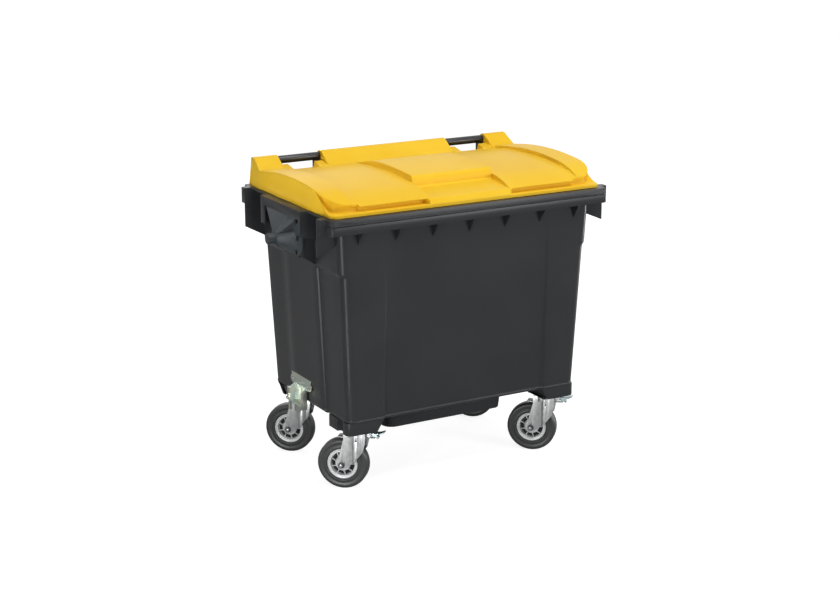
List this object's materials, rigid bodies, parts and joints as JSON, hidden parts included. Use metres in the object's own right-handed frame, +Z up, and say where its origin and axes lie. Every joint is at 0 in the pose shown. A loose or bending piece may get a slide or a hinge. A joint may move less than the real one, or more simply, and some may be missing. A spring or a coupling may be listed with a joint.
{
  "type": "four-wheeled waste container",
  "caption": "Tapered plastic waste container with a hinged domed lid, rear handle bars, side lifting trunnions and swivel castors with brakes.",
  "frame": {"origin": "on the ground under the middle of the container", "axes": "+X to the right seen from the front, +Y towards the hinge at the back, +Z up"},
  "size_m": [1.37, 0.772, 1.21],
  "materials": {
    "body_plastic": "injection moulded HDPE, fine grain",
    "lid_plastic": "injection moulded HDPE, satin",
    "bar_tube": "black coated steel tube",
    "pin_steel": "zinc plated",
    "trunnion_steel": "dark grey cast",
    "bolt_steel": "zinc plated",
    "plate_steel": "black coated",
    "bearing_steel": "oiled steel",
    "fork_steel": "pressed, bright zinc plated",
    "nut_steel": "dark oxide",
    "rim_metal": "silver grey",
    "tyre_rubber": "solid rubber",
    "pedal_steel": "bluish zinc plated",
    "lock_steel": "yellowish zinc plated",
    "spring_steel": "spring wire",
    "plug_plastic": "moulded",
    "gasket_rubber": "soft"
  },
  "bodies": {
    "container": {"tub": "body_plastic", "sump": "body_plastic", "rim": "body_plastic", "feet": "body_plastic", "bar_posts": "body_plastic", "left_handle_bar": "bar_tube", "right_handle_bar": "bar_tube", "bar_pins": "pin_steel", "left_trunnion": "trunnion_steel", "right_trunnion": "trunnion_steel", "left_trunnion_bolts": "bolt_steel", "right_trunnion_bolts": "bolt_steel", "lock_bracket": "lock_steel", "lock_bolts": "bolt_steel", "lock_spring": "spring_steel", "drain_gasket": "gasket_rubber", "front_left_mount_plate": "plate_steel", "castor_plate_bolts": "bolt_steel", "front_left_swivel_bearing": "bearing_steel", "front_left_kingpin": "bolt_steel", "front_right_mount_plate": "plate_steel", "front_right_swivel_bearing": "bearing_steel", "front_right_kingpin": "bolt_steel", "rear_left_mount_plate": "plate_steel", "rear_left_swivel_bearing": "bearing_steel", "rear_left_kingpin": "bolt_steel", "rear_right_mount_plate": "plate_steel", "rear_right_swivel_bearing": "bearing_steel", "rear_right_kingpin": "bolt_steel"},
    "lid": {"lid": "lid_plastic"},
    "front_left_swivel": {"front_left_fork": "fork_steel", "front_left_axle": "bolt_steel", "front_left_axle_nut": "nut_steel"},
    "front_left_wheel": {"front_left_wheel_bearing": "bearing_steel", "front_left_wheel_rim": "rim_metal", "front_left_tyre": "tyre_rubber"},
    "front_right_swivel": {"front_right_fork": "fork_steel", "front_right_axle": "bolt_steel", "front_right_axle_nut": "nut_steel"},
    "front_right_wheel": {"front_right_wheel_bearing": "bearing_steel", "front_right_wheel_rim": "rim_metal", "front_right_tyre": "tyre_rubber"},
    "rear_left_swivel": {"rear_left_fork": "fork_steel", "rear_left_axle": "bolt_steel", "rear_left_axle_nut": "nut_steel"},
    "rear_left_wheel": {"rear_left_wheel_bearing": "bearing_steel", "rear_left_wheel_rim": "rim_metal", "rear_left_tyre": "tyre_rubber"},
    "rear_right_swivel": {"rear_right_fork": "fork_steel", "rear_right_axle": "bolt_steel", "rear_right_axle_nut": "nut_steel"},
    "rear_right_wheel": {"rear_right_wheel_bearing": "bearing_steel", "rear_right_wheel_rim": "rim_metal", "rear_right_tyre": "tyre_rubber"},
    "front_left_pedal": {"front_left_brake_pedal": "pedal_steel"},
    "front_left_shoe": {"front_left_brake_shoe": "fork_steel"},
    "front_right_pedal": {"front_right_brake_pedal": "pedal_steel"},
    "front_right_shoe": {"front_right_brake_shoe": "fork_steel"},
    "plunger": {"lock_plunger": "lock_steel"},
    "plug": {"drain_plug": "plug_plastic"}
  },
  "joints": [
    {"name": "lid_hinge", "type": "hinge", "parent": "container", "child": "lid", "pos_m": [0, 0.345, 1.188], "axis": [-1, 0, 0], "range_deg": [0, 250]},
    {"name": "front_left_turn", "type": "hinge", "parent": "container", "child": "front_left_swivel", "pos_m": [-0.4315, -0.235, 0.2389], "axis": [0, 0, 1], "continuous": true},
    {"name": "front_left_roll", "type": "hinge", "parent": "front_left_swivel", "child": "front_left_wheel", "pos_m": [-0.46953, -0.19954, 0.1], "axis": [0.682, 0.7314, 0], "continuous": true},
    {"name": "front_right_turn", "type": "hinge", "parent": "container", "child": "front_right_swivel", "pos_m": [0.4315, -0.235, 0.2389], "axis": [0, 0, 1], "continuous": true},
    {"name": "front_right_roll", "type": "hinge", "parent": "front_right_swivel", "child": "front_right_wheel", "pos_m": [0.39347, -0.19954, 0.1], "axis": [0.682, 0.7314, 0], "continuous": true},
    {"name": "rear_left_turn", "type": "hinge", "parent": "container", "child": "rear_left_swivel", "pos_m": [-0.4315, 0.235, 0.2389], "axis": [0, 0, 1], "continuous": true},
    {"name": "rear_left_roll", "type": "hinge", "parent": "rear_left_swivel", "child": "rear_left_wheel", "pos_m": [-0.46953, 0.27046, 0.1], "axis": [0.682, 0.7314, 0], "continuous": true},
    {"name": "rear_right_turn", "type": "hinge", "parent": "container", "child": "rear_right_swivel", "pos_m": [0.4315, 0.235, 0.2389], "axis": [0, 0, 1], "continuous": true},
    {"name": "rear_right_roll", "type": "hinge", "parent": "rear_right_swivel", "child": "rear_right_wheel", "pos_m": [0.39347, 0.27046, 0.1], "axis": [0.682, 0.7314, 0], "continuous": true},
    {"name": "front_left_brake", "type": "hinge", "parent": "front_left_swivel", "child": "front_left_pedal", "pos_m": [-0.39347, -0.27046, 0.2257], "axis": [0.682, 0.7314, 0], "range_deg": [0, 15]},
    {"name": "front_left_shoe_slide", "type": "slide", "parent": "front_left_swivel", "child": "front_left_shoe", "axis": [0, 0, -1], "range_m": [0, 0.0051]},
    {"name": "front_right_brake", "type": "hinge", "parent": "front_right_swivel", "child": "front_right_pedal", "pos_m": [0.46953, -0.27046, 0.2257], "axis": [0.682, 0.7314, 0], "range_deg": [0, 15]},
    {"name": "front_right_shoe_slide", "type": "slide", "parent": "front_right_swivel", "child": "front_right_shoe", "axis": [0, 0, -1], "range_m": [0, 0.0051]},
    {"name": "lock_slide", "type": "slide", "parent": "container", "child": "plunger", "axis": [0, 0, -1], "range_m": [0, 0.016], "stiffness_N_per_m": 400, "springref_m": -0.01, "deforming": ["lock_spring"]},
    {"name": "plug_slide", "type": "slide", "parent": "container", "child": "plug", "axis": [0, 0, -1], "range_m": [0, 0.03]}
  ],
  "couplings": [
    {"joint": "front_left_shoe_slide", "follows": "front_left_brake", "m_per_rad": 0.0191},
    {"joint": "front_right_shoe_slide", "follows": "front_right_brake", "m_per_rad": 0.0191}
  ]
}
